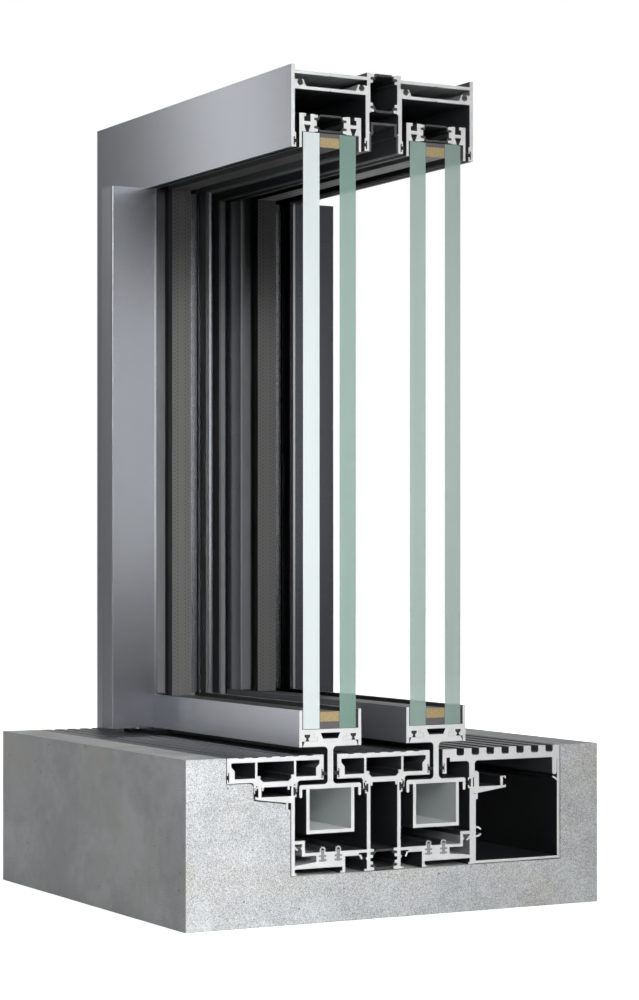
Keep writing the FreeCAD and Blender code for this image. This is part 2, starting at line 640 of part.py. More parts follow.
def frame_breaks(depth):
    """Sections of the insulating strips between the two halves of the frame."""
    upper = depth - UPPER_STRIP
    lower = depth - LOWER_STRIP
    return Part.makeCompound([
        insulator(POCKET_FACE, MIDDLE, upper, upper + STRIP_BOW, FRAME_STRIP),
        insulator(POCKET_FACE, MIDDLE, lower, lower - STRIP_BOW, FRAME_STRIP)])


def frame_cover():
    """Section of the clip-in cover that closes the joint between the two halves."""
    face = POCKET_FACE - POCKET_DROP
    half = [
        plate(face + COVER, MIDDLE, COVER_HEIGHT - COVER, COVER_HEIGHT),
        plate(face + COVER, face + 2 * COVER, COVER_STEP, COVER_HEIGHT),
        plate(face, face + 2 * COVER, COVER_STEP - COVER / 2, COVER_STEP + COVER / 2),
        plate(face, face + COVER, 1.0, COVER_STEP),
    ]
    notch = area((face, 10.5), (face + 0.9, 11.2), (face, 11.9))
    return section(both_sides(half, MIDDLE), both_sides([notch], MIDDLE))


def frame_brushes():
    """Sections of the brush seals in the four slots that face the leaves."""
    slot = BRUSH_SLOT / 2 - 0.1
    mouth = BRUSH_MOUTH / 2 - 0.1
    mid_out = LIP_LENGTH / 2 - 0.2
    mid_in = LIP_LIFT + LIP_LENGTH / 2 - 0.2
    inner = POCKET_FACE - POCKET_DROP - LIP_THICK
    outer = section([
        plate(LIP_THICK - 1.55, LIP_THICK - 0.85, mid_out - slot, mid_out + slot),
        plate(LIP_THICK - 1.55, LEAF_SETBACK - SEAL_GAP, mid_out - mouth, mid_out + mouth)])
    inside = section([
        plate(inner + 0.85, inner + 1.55, mid_in - slot, mid_in + slot),
        plate(LEAF_IN + SEAL_GAP, inner + 1.55, mid_in - mouth, mid_in + mouth)])
    return Part.makeCompound(both_sides([outer, inside], MIDDLE))


def edge_half():
    """Section of the outer half of a leaf's edge profile, its lip at z = 0."""
    f = LEAF_SETBACK
    h = LEG_LENGTH
    top = h + BODY_HEIGHT
    inner = f + BODY_WIDTH
    bar_low = h + 3.7
    pocket = f + (BODY_WALL + BODY_WIDTH - UPRIGHT) / 2
    areas = [
        plate(f, f + LEG_THICK, 0, h + 1),
        plate(f, f + BODY_WALL, h, top),
        plate(f, f + BODY_WALL + SLOT_LIP, top - 1.7, top),
        plate(f + 2, inner - 1, bar_low, bar_low + CROSSBAR),
        plate(inner - UPRIGHT, inner, h, top - 0.1),
        area((f + BODY_WALL - 0.5, h), (pocket - 0.7, h), (f + BODY_WALL, h + 3.4),
             (f + BODY_WALL - 0.5, h + 3.4)),
        area((inner - UPRIGHT + 0.5, h), (pocket + 0.7, h), (inner - UPRIGHT, h + 3.4),
             (inner - UPRIGHT + 0.5, h + 3.4)),
    ]
    areas += grips(inner, h + 7.2, STRIP, 1)
    areas += grips(inner, h + 2.7, STRIP, -1)
    areas.append(plate(inner - 0.5, inner + 0.8, h + 7.2 - STRIP / 2 - 1.9, h + 2.7 + STRIP / 2 + 1.9))
    return section(areas)


def edge_breaks():
    """Sections of the insulating strips between the halves of an edge profile."""
    near = LEAF_SETBACK + BODY_WIDTH
    h = LEG_LENGTH
    return Part.makeCompound([
        insulator(near, LEAF_MID, h + 7.2, h + 9.4, STRIP),
        insulator(near, LEAF_MID, h + 2.7, h + 0.9, STRIP)])


def top_rail(profile, tip):
    """Leaf edge profile along the top."""
    back = tip - EDGE_HEIGHT
    return extruded(profile, back, 0).translated(Vector(0, 0, OPENING_HEIGHT))


def closing_stile(profile, tip):
    """Leaf edge profile down the closing edge."""
    return upright(extruded(profile, 0, OPENING_HEIGHT - SKIRT_TOP), tip, SKIRT_TOP)


def key_area(play):
    """Waisted rubber key below the glazing channel."""
    y = LEAF_SETBACK + 4.95
    low = LEAF_LIFT + CARRIER_PLATE + 0.1
    top = low + 3.7
    return area((y - 1.75 + play, top - play), (y - 1.75 + play, top - 1.2), (y - 0.65 + play, top - 2.2),
                (y - 1.2 + play, low), (y + 1.2 - play, low), (y + 0.65 - play, top - 2.2),
                (y + 1.75 - play, top - 1.2), (y + 1.75 - play, top - play))


def glazing_channel(tip):
    """Channel that holds the bottom edge of the glass and hooks on to the carrier."""
    f = LEAF_SETBACK
    low = LEAF_LIFT + CARRIER_PLATE + HOOK_FIT
    half = [
        plate(f, f + SKIRT, LEAF_LIFT, SKIRT_TOP),
        plate(f, f + CHANNEL_FOOT, low, CHANNEL_FLOOR),
        plate(f + CHANNEL_FOOT - 2, f + CHANNEL_TOE, low, low + 2.1),
    ]
    floor = plate(f, LEAF_IN, CHANNEL_FLOOR, CHANNEL_FLOOR + GLASS_PLATE)
    keys = both_sides([key_area(0)], LEAF_MID)
    return extruded(section([floor] + both_sides(half, LEAF_MID), keys), tip - EDGE_HEIGHT)


def carrier(tip):
    """Hanging T-section below the glass with the hollow box that runs in the track."""
    f = LEAF_SETBACK
    c = LEAF_MID
    seat = LEAF_LIFT + CARRIER_PLATE
    hook = f + CHANNEL_TOE + HOOK_FIT
    half = [
        area((f + 3.2, seat), (f + SKIRT + 0.2, LEAF_LIFT), (c, LEAF_LIFT), (c, seat + 1.3),
             (hook, seat + 1.3), (hook, seat)),
        area((hook, seat), (hook, CHANNEL_FLOOR), (hook + HOOK_WALL, CHANNEL_FLOOR),
             (hook + 3.3, seat + 1.3), (hook + 3.3, seat)),
        plate(f + CHANNEL_FOOT + HOOK_FIT, hook + 0.6, seat + 2.3, CHANNEL_FLOOR),
        plate(f, c, FLANGE_LOW, FLANGE_TOP),
        plate(f, f + HOOK_WALL, FLANGE_LOW - FLANGE_HOOK + HOOK_WALL / 2, FLANGE_TOP),
        disc(f + HOOK_WALL / 2, FLANGE_LOW - FLANGE_HOOK + HOOK_WALL / 2, HOOK_WALL / 2),
        plate(c - BOX_WIDTH / 2, c - BOX_WIDTH / 2 + BOX_WALL, BOX_LOW, FLANGE_LOW),
    ]
    for z, way in ((LEAF_LIFT, -1), (FLANGE_TOP, 1)):
        y = c - STEM / 2 - STEM_FILLET
        corner = area((y, z), (c, z), (c, z + way * STEM_FILLET), (y, z + way * STEM_FILLET))
        half.append(corner.cut(disc(y, z + way * STEM_FILLET, STEM_FILLET)))
    middle = [
        plate(c - STEM / 2, c + STEM / 2, FLANGE_TOP, LEAF_LIFT),
        plate(c - BOX_WIDTH / 2, c + BOX_WIDTH / 2, BOX_LOW, BOX_LOW + BOX_WALL),
    ]
    corners = [area((f, FLANGE_TOP), (f + 0.8, FLANGE_TOP), (f, FLANGE_TOP - 0.8))]
    return extruded(section(middle + both_sides(half, c), both_sides(corners, c)),
                    tip - EDGE_HEIGHT)


def flanged_roller(x, y, z, radius, side):
    """Roller at depth y whose flange runs along the rail on that side (+1 or -1)."""
    rim = y + side * ROLLER_WIDTH / 2
    half = section([plate(y - ROLLER_WIDTH / 2, y + ROLLER_WIDTH / 2, z, z + radius),
                    plate(rim - side * FLANGE_THICK, rim, z, z + radius + FLANGE_RISE)])
    return half.translated(Vector(x, 0, 0)).revolve(Vector(x, y, z), Vector(0, 1, 0), 360)


def roller_truck(tip):
    """One flanged roller per rail on a common axle, between cheek plates below the box."""
    back = tip - EDGE_HEIGHT
    axis = RAIL_CREST + SEAL_GAP + ROLLER_RADIUS
    x = back + TRUCK_LENGTH / 2 + TRUCK_SETBACK
    near, far = rail_places()
    out = ROLLER_WIDTH / 2 + 0.5
    pieces = [Part.makeCylinder(1.1, far - near + 2 * out, Vector(x, near - out, axis),
                                Vector(0, 1, 0))]
    for y, inner in ((near, 1), (far, -1)):
        pieces.append(flanged_roller(x, y, axis, ROLLER_RADIUS, inner))
        for side in (-1, 1):
            edge = y + side * out
            cheek = plate(edge, edge + side * 1.2, axis - 1.5, BOX_LOW)
            pieces.append(extruded(cheek, x - TRUCK_LENGTH / 2, x + TRUCK_LENGTH / 2))
    return pieces[0].multiFuse(pieces[1:]).removeSplitter()


def glass_pane(y, tip):
    """One pane, from its bed in the glazing channel to the top rail."""
    return extruded(plate(y, y + PANE_THICK, GLASS_LOW, GLASS_TOP), tip - EDGE_COVER)


def three_sided(y0, y1, tip, outer, inner, z_low, z_high):
    """Band round the bottom, closing edge and top of the glass unit."""
    whole = extruded(plate(y0, y1, z_low, OPENING_HEIGHT + outer), tip - outer)
    return whole.cut(extruded(plate(y0, y1, z_high, OPENING_HEIGHT + inner), tip - inner, 1))


def leaf_gaskets(tip):
    """Rubber between glass and metal on both faces, and the keys below."""
    out0 = LEAF_SETBACK + LEG_THICK
    in0 = LEAF_IN - LEG_THICK - INNER_GASKET
    gaskets = []
    for y0, y1, low0, low1 in (
            (out0, out0 + OUTER_GASKET, LEAF_SETBACK + SKIRT, out0 + OUTER_GASKET),
            (in0, in0 + INNER_GASKET, in0, LEAF_IN - SKIRT)):
        band = three_sided(y0, y1, tip, EDGE_COVER, 0.6, SKIRT_TOP, SKIRT_TOP)
        foot = extruded(plate(low0, low1, GLASS_LOW, SKIRT_TOP), tip - EDGE_COVER)
        gaskets.append(band.fuse(foot).removeSplitter())
    key = extruded(key_area(0.05), tip - EDGE_HEIGHT)
    return Part.makeCompound(gaskets + [key, mirrored(key, LEAF_MID)])


def pull_bar(tip, side):
    """Full-height hollow pull bar on the closing edge; side -1 outdoors, +1 indoors."""
    face = LEAF_SETBACK if side < 0 else LEAF_IN
    y0, y1 = sorted((face, face + side * PULL_DEPTH))
    height = OPENING_HEIGHT - LEAF_LIFT
    corner = Vector(tip - PULL_WIDTH, y0, LEAF_LIFT)
    outer = Part.makeBox(PULL_WIDTH, y1 - y0, height, corner)
    free = y0 if side < 0 else y1
    edges = [e for e in outer.Edges
             if e.BoundBox.ZLength > height / 2 and abs(e.BoundBox.YMin - free) < 0.01]
    outer = outer.makeFillet(PULL_CORNER, edges)
    w = PULL_WALL
    hollow = Part.makeBox(PULL_WIDTH - 2 * w, y1 - y0 - 2 * w, height, corner + Vector(w, w, 0))
    return outer.cut(hollow)


def leaf_parts(prefix, tip, pull_side):
    """Every part of one leaf, drawn in the outer track's place."""
    half = edge_half()
    outside = top_rail(half, tip).fuse(closing_stile(half, tip)).removeSplitter()
    breaks = edge_breaks()
    y_cav = LEAF_SETBACK + LEG_THICK + OUTER_GASKET + PANE_THICK
    y_in = y_cav + CAVITY
    spacer_low = GLASS_LOW + EDGE_BED
    spacer_back = SPACER_SIGHT + SPACER_HEIGHT
    strips = top_rail(breaks, tip).Solids + closing_stile(breaks, tip).Solids
    return {
        prefix + "_edge_frame_outside": outside,
        prefix + "_edge_frame_inside": mirrored(outside, LEAF_MID),
        prefix + "_thermal_breaks": Part.makeCompound(strips),
        prefix + "_glazing_channel": glazing_channel(tip),
        prefix + "_carrier": carrier(tip),
        prefix + "_roller_truck": roller_truck(tip),
        prefix + "_pane_outside": glass_pane(y_cav - PANE_THICK, tip),
        prefix + "_pane_inside": glass_pane(y_in, tip),
        prefix + "_spacer": three_sided(y_cav, y_in, tip, spacer_back, SPACER_SIGHT,
                                        spacer_low, spacer_low + SPACER_HEIGHT),
        prefix + "_edge_seal": three_sided(y_cav, y_in, tip, EDGE_COVER, spacer_back,
                                           GLASS_LOW, spacer_low),
        prefix + "_gaskets": leaf_gaskets(tip),
        prefix + "_pull_bar": pull_bar(tip, pull_side),
    }


def head_parts():
    def over(profile):
        return mitred(extruded(profile).translated(Vector(0, 0, OPENING_HEIGHT)), True)

    half = over(frame_half(HEAD_HEIGHT))
    return {
        "head_outer_profile": half,
        "head_inner_profile": mirrored(half, MIDDLE),
        "head_thermal_breaks": over(frame_breaks(HEAD_HEIGHT)),
        "head_cover": over(frame_cover()),
        "head_brush_seals": over(frame_brushes()),
    }


def jamb_parts():
    def beside(profile):
        return mitred(upright(extruded(profile, 0, OPENING_HEIGHT + HEAD_HEIGHT), JAMB_LIP), False)

    half = beside(frame_half(JAMB_WIDTH))
    return {
        "jamb_outer_profile": half,
        "jamb_inner_profile": mirrored(half, MIDDLE),
        "jamb_thermal_breaks": beside(frame_breaks(JAMB_WIDTH)),
        "jamb_cover": beside(frame_cover()),
        "jamb_brush_seals": beside(frame_brushes()),
    }


def sill_parts():
    track = outer_track()
    return {
        "concrete_base": concrete_base(),
        "outer_track": track,
        "inner_track": mirrored(track, MIDDLE),
        "sill_thermal_breaks": sill_thermal_breaks(),
        "running_rails": running_rails(),
        "rail_cores": rail_cores(),
        "outer_deck": deck(OUTER_DECK_MID),
        "middle_deck": deck(MIDDLE),
        "outer_deck_tray": deck_tray(OUTER_DECK_MID),
        "middle_deck_tray": deck_tray(MIDDLE),
        "drain_grate": drain_grate(),
        "drain_channel": drain_channel(),
        "deck_seals": deck_seals(),
    }


def build():
    parts = {}
    parts.update(sill_parts())
    parts.update(head_parts())
    parts.update(jamb_parts())
    parts.update(leaf_parts("outer_leaf", OUTER_TIP, -1))
    for name, shape in leaf_parts("inner_leaf", INNER_TIP, 1).items():
        parts[name] = shape.translated(Vector(0, LEAF_PITCH, 0))
    os.makedirs("parts", exist_ok=True)
    for name, shape in parts.items():
        placed = shape.translated(ORIGIN)
        if not placed.isValid():
            print("not valid:", name)
        placed.exportStep("parts/" + name + ".step")
        print(name, len(placed.Solids), round(placed.Volume))


build()
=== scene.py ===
# %% [markdown]
# # Corner section sample of a sliding glass patio door
#
# The real object is a showroom sample: one corner of a two-track sliding door, sawn
# square so that a visitor can read every profile, with its sill cast into concrete.
# The profiles are extrusions, so the frame already holds their exact shape.  What is
# left for this file is the finish of each surface, the pile of the brushes and the studio.

# %% Load the frame
import math

import bpy
from mathutils import Matrix, Quaternion, Vector


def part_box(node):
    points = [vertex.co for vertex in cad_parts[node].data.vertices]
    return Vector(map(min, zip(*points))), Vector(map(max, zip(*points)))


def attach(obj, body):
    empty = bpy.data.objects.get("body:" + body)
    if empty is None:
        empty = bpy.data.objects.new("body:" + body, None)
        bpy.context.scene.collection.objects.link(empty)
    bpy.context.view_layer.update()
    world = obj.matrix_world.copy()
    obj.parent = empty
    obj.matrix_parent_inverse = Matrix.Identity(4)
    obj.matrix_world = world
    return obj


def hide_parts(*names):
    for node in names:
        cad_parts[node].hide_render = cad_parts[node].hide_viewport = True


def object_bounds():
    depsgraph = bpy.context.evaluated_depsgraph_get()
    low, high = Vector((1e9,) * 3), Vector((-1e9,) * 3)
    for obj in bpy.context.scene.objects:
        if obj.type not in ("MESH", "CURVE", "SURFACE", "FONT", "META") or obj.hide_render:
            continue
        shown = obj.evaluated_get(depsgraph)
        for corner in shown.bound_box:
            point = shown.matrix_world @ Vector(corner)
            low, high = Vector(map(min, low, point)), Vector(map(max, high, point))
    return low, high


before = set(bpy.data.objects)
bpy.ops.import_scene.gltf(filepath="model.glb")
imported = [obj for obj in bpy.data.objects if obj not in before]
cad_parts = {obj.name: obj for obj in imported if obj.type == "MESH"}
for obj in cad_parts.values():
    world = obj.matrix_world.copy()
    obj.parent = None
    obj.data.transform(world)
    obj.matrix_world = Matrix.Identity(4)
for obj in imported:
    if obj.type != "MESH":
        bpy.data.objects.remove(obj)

BOX_AT_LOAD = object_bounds()
print("nodes:", len(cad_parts), "top at", round(BOX_AT_LOAD[1].z, 4))

# %% [markdown]
# ## Reading places off the frame
#
# A finish often changes from one face to the next: a profile is coated outside, bare
# where it was sawn, and bright inside its closed chambers, mill metal brightened with
# painted light.  The masks for that need a few depths and heights.  They are read from
# the nodes' boxes, never typed, so they follow the model.

# %% Depths, heights and the sawn face
MM = 0.001
CUT = BOX_AT_LOAD[1].x


def low(node):
    """Lowest corner of a CAD node."""
    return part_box(node)[0]


def high(node):
    """Highest corner of a CAD node."""
    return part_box(node)[1]


FLOOR = high("middle_deck").z
FRONT = low("head_outer_profile").y
BACK = high("head_inner_profile").y
HEAD_TOP = high("head_outer_profile").z
TRACK_LOW = low("outer_track").z
print("sawn face x", round(CUT, 5), "floor z", round(FLOOR, 5), "head top", round(HEAD_TOP, 4))

# %% [markdown]
# ## The camera
#
# The photograph is taken level, from outdoors and to the right of the sawn face, with a
# long lens.  Its verticals stay parallel, so the camera is not tilted: a small vertical
# shift frames the object instead, as a shift lens does.

# %% Camera
FOCAL_LENGTH = 93.376
SENSOR = 36.0
SHIFT_UP = 0.0528
VIEWPOINT = (1.372267, -0.733856, 0.202355)
HEADING = math.radians(61.222)

camera_data = bpy.data.cameras.new("camera")
camera_data.lens = FOCAL_LENGTH
camera_data.sensor_width = SENSOR
camera_data.shift_y = SHIFT_UP
camera_data.clip_end = 50
camera = bpy.data.objects.new("camera", camera_data)
bpy.context.scene.collection.objects.link(camera)
camera.location = VIEWPOINT
camera.rotation_euler = (math.radians(90), 0, HEADING)
bpy.context.scene.camera = camera
print("camera at", tuple(round(v, 3) for v in camera.location))

# %% [markdown]
# ## A small language for shaders
#
# A mask such as "near the sawn face" is arithmetic on coordinates.  Written with nodes
# by hand it takes a page, so one class wraps a socket and lets Python's operators add
# the Math nodes.  Every other node comes from one method, `add`.  The world of a studio
# is a node tree too, so the tree is a class of its own and a finish builds on it.

# %% Wires
class Wire:
    """An output socket that can be used in sums."""

    def __init__(self, tree, socket):
        self.tree = tree
        self.socket = socket

    def math(self, operation, *values):
        """A Math node on this wire and the values."""
        return self.tree.add("ShaderNodeMath", {"operation": operation},
                             dict(enumerate((self, *values))))

    def __add__(self, other):
        return self.math("ADD", other)

    def __sub__(self, other):
        return self.math("SUBTRACT", other)

    def __rsub__(self, other):
        return self.tree.add("ShaderNodeMath", {"operation": "SUBTRACT"}, {0: other, 1: self})

    def __mul__(self, other):
        return self.math("MULTIPLY", other)

    def __truediv__(self, other):
        return self.math("DIVIDE", other)

    def __gt__(self, other):
        return self.math("GREATER_THAN", other)

    def __lt__(self, other):
        return self.math("LESS_THAN", other)

    def __or__(self, other):
        return self.math("MAXIMUM", other)

    def __abs__(self):
        return self.math("ABSOLUTE")

    __radd__ = __add__
    __rmul__ = __mul__

    def fraction(self):
        return self.math("FRACT")

    def ramp(self, start, end, first=0.0, last=1.0):
        """Goes smoothly from first to last while this wire goes from start to end."""
        return self.tree.add("ShaderNodeMapRange", {"interpolation_type": "SMOOTHSTEP"},
                             {"Value": self, "From Min": start, "From Max": end,
                              "To Min": first, "To Max": last})


print("besides sums, a wire can", [name for name in vars(Wire) if name[0] != "_"])


# %% Node trees
class Tree:
    """A node tree that is filled by one method."""

    def __init__(self, node_tree):
        self.nodes = node_tree.nodes
        self.links = node_tree.links

    def add(self, kind, settings=None, sockets=None, output=0):
        """A node of this kind, with its settings made first and its sockets filled after."""
        node = self.nodes.new(kind)
        for key, value in (settings or {}).items():
            setattr(node, key, value)
        for key, value in (sockets or {}).items():
            if isinstance(value, Wire):
                self.links.new(value.socket, node.inputs[key])
            else:
                node.inputs[key].default_value = value
        return Wire(self, node.outputs[output])

    def split(self, vector):
        """The three parts of a vector."""
        first = self.add("ShaderNodeSeparateXYZ", {}, {0: vector})
        return [Wire(self, socket) for socket in first.socket.node.outputs]

    def joined(self, x, y, z):
        """A vector from three parts."""
        return self.add("ShaderNodeCombineXYZ", {}, {0: x, 1: y, 2: z})

    def mixed(self, factor, first, second):
        """Colour that goes from first to second as factor goes from 0 to 1."""
        return self.add("ShaderNodeMix", {"data_type": "RGBA"},
                        {0: factor, 6: first, 7: second}, output=2)

    def blend(self, factor, first, second):
        """Number that goes from first to second as factor goes from 0 to 1."""
        return self.add("ShaderNodeMix", {"data_type": "FLOAT"},
                        {0: factor, 2: first, 3: second})

    def ray(self, name):
        """An output of Light Path."""
        return self.add("ShaderNodeLightPath", output=name)


print("a tree can", [name for name in vars(Tree) if name[0] != "_"])

# %% [markdown]
# ## What a finish is
#
# A finish is a material with one Principled shader.  What is the same all over it sits on
# the shader's own sockets, and only what changes over the surface is wired in.  All
# patterns read Object coordinates, so they ride with a leaf when it slides.

# %% Finishes
SAWN_DEPTH = 0.02 * MM


class Finish(Tree):
    """A procedural material: constants sit on its shader, and wires are fed to it."""

    def __init__(self, name, **constants):
        self.material = bpy.data.materials.new(name)
        self.material.use_nodes = True
        super().__init__(self.material.node_tree)
        self.shader = self.nodes["Principled BSDF"]
        for socket, value in constants.items():
            self.shader.inputs[socket.replace("_", " ")].default_value = value
        self.place = self.add("ShaderNodeTexCoord", output="Object")
        self.x, self.y, self.z = self.split(self.place)

    def facing(self):
        """The three parts of the surface's own normal."""
        return self.split(self.add("ShaderNodeNewGeometry", output="True Normal"))

    def noise(self, size, detail=3, vector=None, rough=0.5):
        """Fractal noise whose blotches measure size metres."""
        return self.add("ShaderNodeTexNoise", {"noise_dimensions": "3D"},
                        {"Vector": vector or self.place, "Scale": 1 / size, "Detail": detail,
                         "Roughness": rough})

    def cells(self, size):
        """Distance to the nearest of many scattered points, size metres apart."""
        return self.add("ShaderNodeTexVoronoi", {"feature": "F1"},
                        {"Vector": self.place, "Scale": 1 / size})

    def bump(self, height, depth):
        """Normal from a height that is worth depth metres."""
        return self.add("ShaderNodeBump", {}, {"Height": height, "Distance": depth})

    def feed(self, **sockets):
        """Links wires to sockets of the shader."""
        for name, wire in sockets.items():
            self.links.new(wire.socket, self.shader.inputs[name.replace("_", " ")])
        return self

    def sawn(self):
        """1 on the sawn face, 0 elsewhere."""
        return (self.x > CUT - SAWN_DEPTH) * (self.facing()[0] > 0.5)

    def marked(self, marks):
        """1 where any of the marks is, from a list of functions that take a finish."""
        found = marks[0](self)
        for mark in marks[1:]:
            found = mark(self) | found
        return found


print("a face counts as sawn within", SAWN_DEPTH / MM, "mm of the cut")


# %% Colours and painting
def rgb(code):
    """Linear colour from the code of a screen colour."""
    parts = [int(code[i:i + 2], 16) / 255 for i in (0, 2, 4)]
    return (*[p / 12.92 if p <= 0.04045 else ((p + 0.055) / 1.055) ** 2.4 for p in parts], 1)


def toned(colour, share):
    """The same colour, lighter or darker."""
    return (*[min(1.0, share * part) for part in colour[:3]], 1)


def paint(finish, *names):
    """Gives nodes or pieces this finish."""
    for name in names:
        target = bpy.data.objects[name]
        if not target.material_slots:
            target.data.materials.append(finish.material)
        for slot in target.material_slots:
            slot.material = finish.material
    print(finish.material.name, "on", ", ".join(names))


print("the screen colour 808080 is", round(rgb("808080")[0], 3), "in linear light")

# %% [markdown]
# ## Which faces of a profile get the bright coat and which painted shade
#
# On the real profiles the faces that show once the door stands catch the light, and what
# lies in the grooves is the same coat in shade.  Here the lit faces get the satin coat and
# the others a dark colour, painted shade.  The faces could be sorted one by one in the
# mesh, but the CAD's triangles change with every pack.  A mask by depth and direction
# finds the same faces each time, so every kind of face gets a function that marks it.

# %% Marks for faces
SAME_PLANE = 0.1 * MM
WALL = 2.1 * MM
TIP_DEPTH = WALL + 0.3 * MM


def plane_y(depth, way):
    """Marks the faces at this depth that look towards way (-1 outdoors, +1 indoors)."""
    def mark(finish):
        return (abs(finish.y - depth) < SAME_PLANE) * (finish.facing()[1] * way > 0.5)
    return mark


def towards_x(finish):
    """Marks the faces that look along the tracks."""
    return finish.facing()[0] > 0.5


def leg_tip(depth):
    """Marks the end of an upright leg whose outer face lies at this depth."""
    return lambda finish: (abs(finish.y - depth) < TIP_DEPTH) * towards_x(finish)


def above(height):
    """Marks everything above a height."""
    return lambda finish: finish.z > height


def within(value, start, end):
    """1 where value lies between start and end."""
    return (value > start) * (value < end)


print("profile walls are taken as", round(WALL / MM, 2), "mm")

# %% [markdown]
# ## Sawn aluminium and its coat
#
# A profile carries four looks.  Its sawn face is bare metal with fine saw marks.  The
# faces that show are satin anodised, a coat that keeps the fine lines of the die, so its
# grain is drawn out along the extrusion.  The grooves get a dark colour, painted shade,
# because a photograph shows them almost black, and a closed chamber keeps its bright mill
# surface, brightened with painted light.  One function builds all of them from the masks.

# %% Colours of the aluminium
SAWN = rgb("d3d4d4")
SATIN = rgb("a3a6ac")
# The pale satin is the coat with painted light and the indoor satin the coat with painted
# shade.  The two shades are painted shade for grooves and hidden faces.  The two mill colours
# are bare mill metal, brightened with painted light.
LIT_SATIN = rgb("cfd2d7")
SHADED_SATIN = rgb("74777c")
SHADE = rgb("2d3032")
INNER_SHADE = rgb("5a5c5e")
LIT_MILL = rgb("a6aaaa")
LIT_TUBE_MILL = rgb("cfd3d3")
print("the sawn metal reflects", round(SAWN[0], 2), "and the satin coat", round(SATIN[0], 2))

# %% Saw marks and die lines
SAW_PITCH = 0.35 * MM
SAW_DEPTH = 0.004 * MM
SWEEP = 0.2
BEND = 2.0
LINE_WIDTH = 0.5 * MM
DRAWN_OUT = 0.002


def saw_marks(finish):
    """Fine arcs that a saw blade leaves, as a number from 0 to 1."""
    arc = finish.z + finish.y * finish.y * BEND
    return finish.noise(SAW_PITCH, 2, finish.joined(finish.y * SWEEP, arc, 0.0))


def die_lines(finish, upright):
    """Lines along the extrusion, which runs in z for an upright profile and else in x."""
    along_x, along_z = (1.0, DRAWN_OUT) if upright else (DRAWN_OUT, 1.0)
    drawn_out = finish.joined(finish.x * along_x, finish.y, finish.z * along_z)
    return finish.noise(LINE_WIDTH, 2, drawn_out)


print("die lines:", LINE_WIDTH / MM, "mm wide,", LINE_WIDTH / DRAWN_OUT / MM, "mm long")

# %% Profile finish
CLOUDS = 6 * MM
COAT_ROUGH, LINE_ROUGH = 0.25, 0.03
BARE_ROUGH, SAW_ROUGH = 0.5, 0.15
DARK_ROUGH = 0.45


def profile_finish(name, shown=(), lit_mill_zones=(), tint=SATIN, shade=SHADE, sawn=SAWN,
                   lit_mill_colour=LIT_MILL, upright=False, matt=()):
    """Finish of a profile.

    shown marks its satin faces and matt those that have the tint but no gloss; every
    other face gets the shade colour, which is painted shade.  The zones list where it gets
    the bright mill colour, each as two depths and two heights; that brightness is painted
    light, on the bare mill metal of closed chambers too.
    """
    finish = Finish(name)
    cut = finish.sawn()
    colour = finish.mixed(finish.noise(CLOUDS), shade, toned(shade, 1.2))
    rough = DARK_ROUGH
    if shown or matt:
        lines = die_lines(finish, upright)
        coat = finish.mixed(lines, toned(tint, 0.94), toned(tint, 1.03))
        colour = finish.mixed(finish.marked([*shown, *matt]), colour, coat)
        satin = finish.marked(shown)
        rough = finish.blend(satin, DARK_ROUGH, COAT_ROUGH + LINE_ROUGH * lines)
        finish.feed(Metallic=finish.blend(cut, satin, 0.0))
    # Each zone gets the bright mill colour, which is painted light.
    for y0, y1, z0, z1 in lit_mill_zones:
        lit_zone = within(finish.y, y0, y1) * within(finish.z, z0, z1)
        colour = finish.mixed(lit_zone, colour, lit_mill_colour)
        rough = finish.blend(lit_zone, rough, BARE_ROUGH)
    marks = saw_marks(finish)
    bare = finish.mixed(marks, sawn, toned(sawn, 0.93))
    return finish.feed(
        Base_Color=finish.mixed(cut, colour, bare),
        Roughness=finish.blend(cut, rough, BARE_ROUGH + SAW_ROUGH * marks),
        Normal=finish.bump(cut * marks, SAW_DEPTH),
    )


print("roughness of the coat", COAT_ROUGH, "and of the bare metal", BARE_ROUGH)

# %% [markdown]
# ## Head and jamb
#
# Head and jamb are two half profiles each, one outdoors and one indoors.  Only their
# outermost faces show once the frame is built in, and only these get the satin coat, on
# the indoor half a darker one with painted shade; every other face gets painted shade.
# Near the top of the head lies a closed chamber with the screw ports, whose mill surface
# is still bright, brightened further with painted light.

# %% Head and jamb profiles
CHAMBER = (HEAD_TOP - 11.6 * MM, HEAD_TOP - 4.6 * MM)
SPAN = 46.6 * MM
outdoor_face = [plane_y(FRONT, -1)]
indoor_face = [plane_y(BACK, 1)]
outdoor_chamber = [(FRONT + WALL, FRONT + SPAN, *CHAMBER)]
indoor_chamber = [(BACK - SPAN, BACK - WALL, *CHAMBER)]
paint(profile_finish("head outside", outdoor_face, outdoor_chamber), "head_outer_profile")
# The indoor half gets the darker satin, painted shade, and a lighter painted shade in its
# grooves.
paint(profile_finish("head inside", indoor_face, indoor_chamber, SHADED_SATIN,
                     rgb("44474a")), "head_inner_profile")
paint(profile_finish("jamb outside", outdoor_face, shade=INNER_SHADE, upright=True),
      "jamb_outer_profile")
paint(profile_finish("jamb inside", indoor_face, tint=SHADED_SATIN, shade=INNER_SHADE,
                     upright=True), "jamb_inner_profile")
paint(profile_finish("cover", shade=rgb("3c3e40"), sawn=rgb("45474a")),
      "head_cover", "jamb_cover")

# %% [markdown]
# ## The two leaves
#
# Each leaf has slim edge profiles, a glazing channel below the glass, a hollow pull bar
# and a carrier that ends in a box.  Both leaves are the same extrusions, but the inner one
# stands behind glass and in the shade of the outer one, so its colours are set for that
# light: its edge profiles are paler, painted light, while its channel is darker and matt
# outdoors, its pull bar darker and its outer leg without a bright tip, all painted shade.
# On both leaves the channel's tint and the pull bar's darker coat are painted light and
# shade, and the box of the carrier is bright inside, mill metal brightened with painted light.

# %% Leaf profiles, glazing channels, pull bars and carriers
BOX_HALF = 13.2 * MM
BOX_INSIDE = (1.8 * MM, 24.6 * MM)
# The pull bars get their coat darkened by this share, painted shade.
PULL_BAR_SHADE = 0.72


